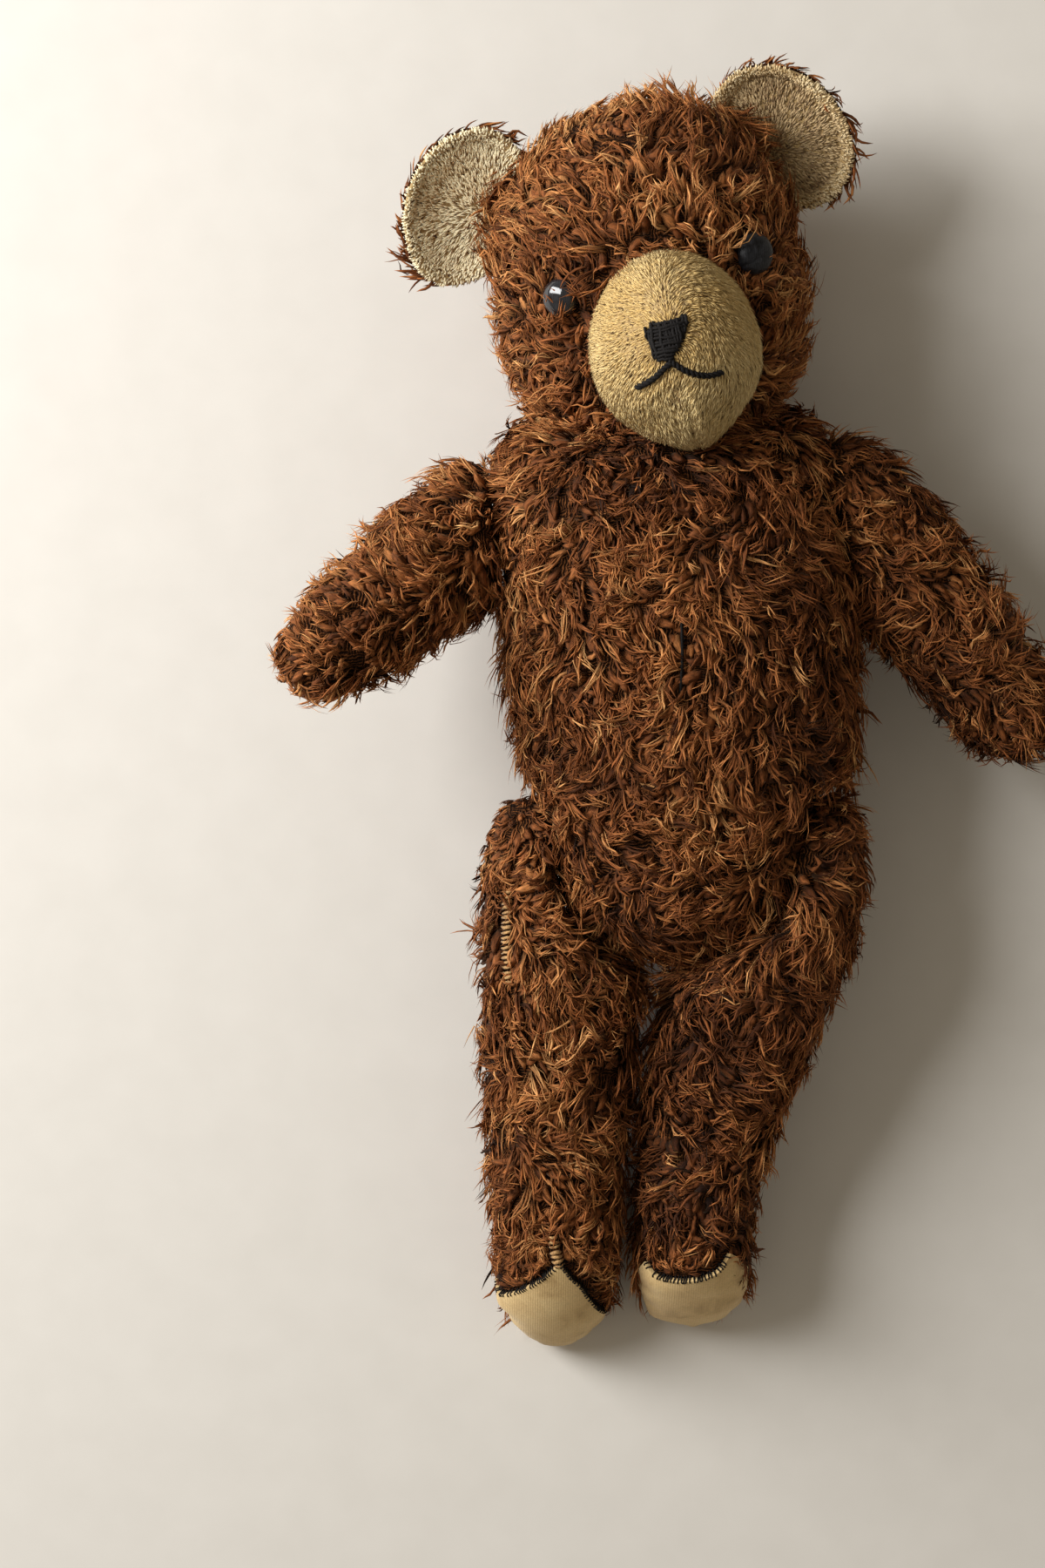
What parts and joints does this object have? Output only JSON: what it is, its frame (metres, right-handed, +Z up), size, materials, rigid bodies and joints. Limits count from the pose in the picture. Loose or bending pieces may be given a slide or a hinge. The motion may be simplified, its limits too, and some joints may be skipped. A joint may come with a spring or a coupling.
{
  "type": "jointed teddy bear",
  "caption": "Worn plush teddy bear lying on its back, with turning head, arms and legs, cream muzzle and soles, and curly brown pile.",
  "frame": {"origin": "on the surface that the bear lies on, under the middle of its bounding box", "axes": "+Z up through the bear's chest, +Y towards its head, +X towards the bear's own left"},
  "size_m": [0.2465, 0.4132, 0.1252],
  "materials": {
    "brown_mohair": "curly woven pile, worn thin in places, matt",
    "cream_plush": "short dense pile, matt",
    "cream_felt": "pressed wool felt, matt",
    "stuffing": "packed wood wool and cotton waste",
    "black_thread": "waxed cotton thread",
    "black_eye": "glossy, one of them dulled by scratches",
    "hardboard": "smooth pressed board",
    "steel": "bright wire and sheet"
  },
  "bodies": {
    "torso": {"torso_cover": "brown_mohair", "torso_stuffing": "stuffing", "neck_body_disc": "hardboard", "neck_body_washer": "steel", "right_shoulder_body_disc": "hardboard", "right_shoulder_body_washer": "steel", "left_shoulder_body_disc": "hardboard", "left_shoulder_body_washer": "steel", "right_hip_body_disc": "hardboard", "right_hip_body_washer": "steel", "left_hip_body_disc": "hardboard", "left_hip_body_washer": "steel"},
    "head": {"head_cover": "brown_mohair", "head_stuffing": "stuffing", "muzzle_cover": "cream_plush", "nose_stitching": "black_thread", "mouth_stitching": "black_thread", "right_ear_back": "brown_mohair", "right_ear_lining": "cream_plush", "left_ear_back": "brown_mohair", "left_ear_lining": "cream_plush", "right_eye": "black_eye", "left_eye": "black_eye", "right_eye_shank": "steel", "left_eye_shank": "steel", "head_disc": "hardboard", "head_washer": "steel", "head_cotter_pin": "steel"},
    "right_arm": {"right_arm_cover": "brown_mohair", "right_arm_stuffing": "stuffing", "right_arm_disc": "hardboard", "right_arm_washer": "steel", "right_arm_cotter_pin": "steel"},
    "left_arm": {"left_arm_cover": "brown_mohair", "left_arm_stuffing": "stuffing", "left_arm_disc": "hardboard", "left_arm_washer": "steel", "left_arm_cotter_pin": "steel"},
    "right_leg": {"right_leg_cover": "brown_mohair", "right_leg_stuffing": "stuffing", "right_leg_disc": "hardboard", "right_leg_washer": "steel", "right_leg_cotter_pin": "steel", "right_foot_pad": "cream_felt"},
    "left_leg": {"left_leg_cover": "brown_mohair", "left_leg_stuffing": "stuffing", "left_leg_disc": "hardboard", "left_leg_washer": "steel", "left_leg_cotter_pin": "steel", "left_foot_pad": "cream_felt"}
  },
  "joints": [
    {"name": "neck", "type": "hinge", "parent": "torso", "child": "head", "pos_m": [-0.0035, 0.0983, 0.042], "axis": [-0.0328, 0.9391, 0.342], "continuous": true},
    {"name": "right_shoulder", "type": "hinge", "parent": "torso", "child": "right_arm", "pos_m": [-0.056, 0.061, 0.048], "axis": [-0.9903, -0.139, 0], "continuous": true},
    {"name": "left_shoulder", "type": "hinge", "parent": "torso", "child": "left_arm", "pos_m": [0.0515, 0.064, 0.048], "axis": [0.9829, 0.184, 0], "continuous": true},
    {"name": "right_hip", "type": "hinge", "parent": "torso", "child": "right_leg", "pos_m": [-0.0374, -0.044, 0.0428], "axis": [-0.9781, -0.2079, 0], "range_deg": [-50, 80]},
    {"name": "left_hip", "type": "hinge", "parent": "torso", "child": "left_leg", "pos_m": [0.0392, -0.044, 0.0428], "axis": [-0.9781, 0.2079, 0], "range_deg": [-45, 60]}
  ]
}
